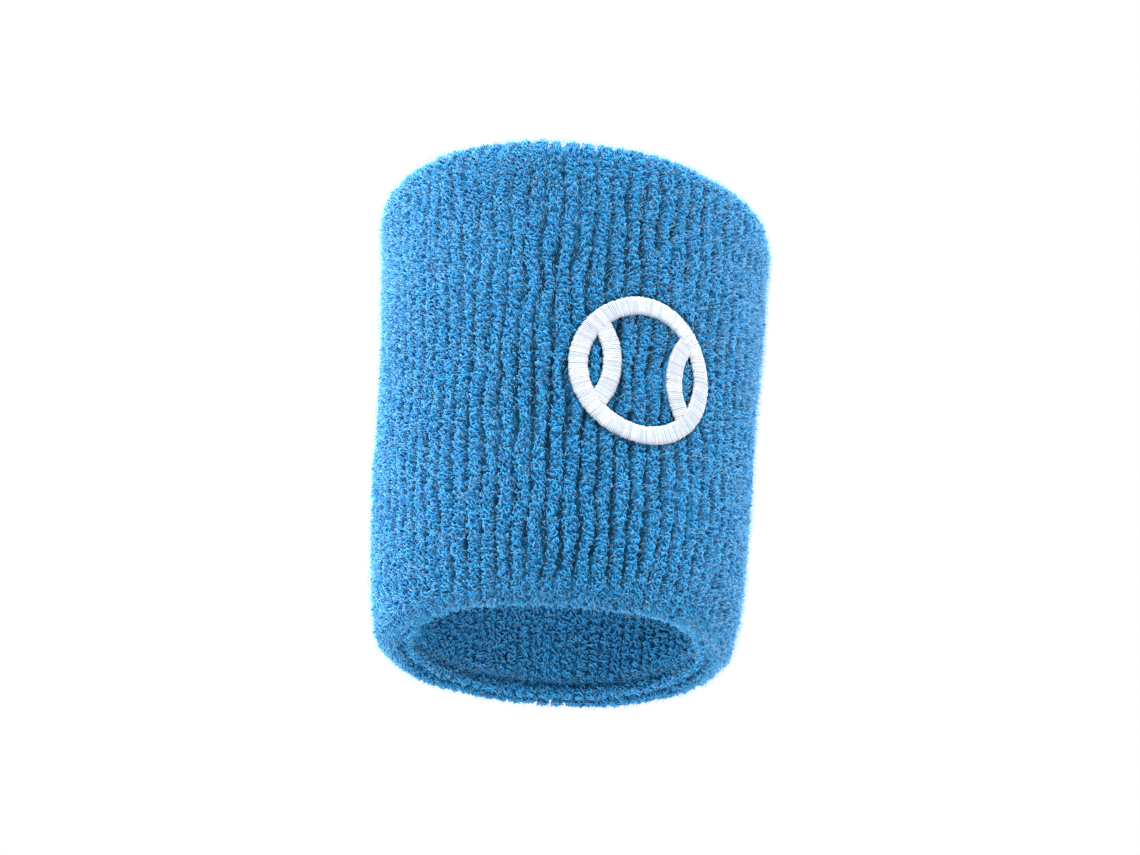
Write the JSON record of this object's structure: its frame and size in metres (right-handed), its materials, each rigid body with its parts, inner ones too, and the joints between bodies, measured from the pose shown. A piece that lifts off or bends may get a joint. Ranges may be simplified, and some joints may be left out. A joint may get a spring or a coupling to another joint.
{
  "type": "sweat wristband",
  "caption": "Short elastic terry wristband, a folded double-wall knitted tube with ribbed pile and an embroidered ball emblem.",
  "frame": {"origin": "centre of the lower, narrower rim, on the plane the band stands on", "axes": "+Z along the arm towards the wider rim; -Y out through the middle of the emblem; +X to the emblem's right as it is read"},
  "size_m": [0.0668, 0.0668, 0.08],
  "materials": {
    "terry_cotton": "matte looped pile",
    "ground_nylon": "matte plain knit",
    "covered_elastic": "satin covered yarn",
    "linking_thread": "matte twisted thread",
    "embroidery_thread": "satin stitch",
    "bobbin_thread": "matte thread",
    "backing_nonwoven": "matte non-woven"
  },
  "bodies": {
    "root": {"terry_pile": "terry_cotton", "ground_knit": "ground_nylon", "elastic_yarn": "covered_elastic", "closing_seam_thread": "linking_thread", "embroidery_backing": "backing_nonwoven", "emblem_outline": "embroidery_thread", "emblem_left_curve": "embroidery_thread", "emblem_right_curve": "embroidery_thread", "bobbin_thread_outline": "bobbin_thread", "bobbin_thread_left_curve": "bobbin_thread", "bobbin_thread_right_curve": "bobbin_thread"}
  },
  "joints": []
}
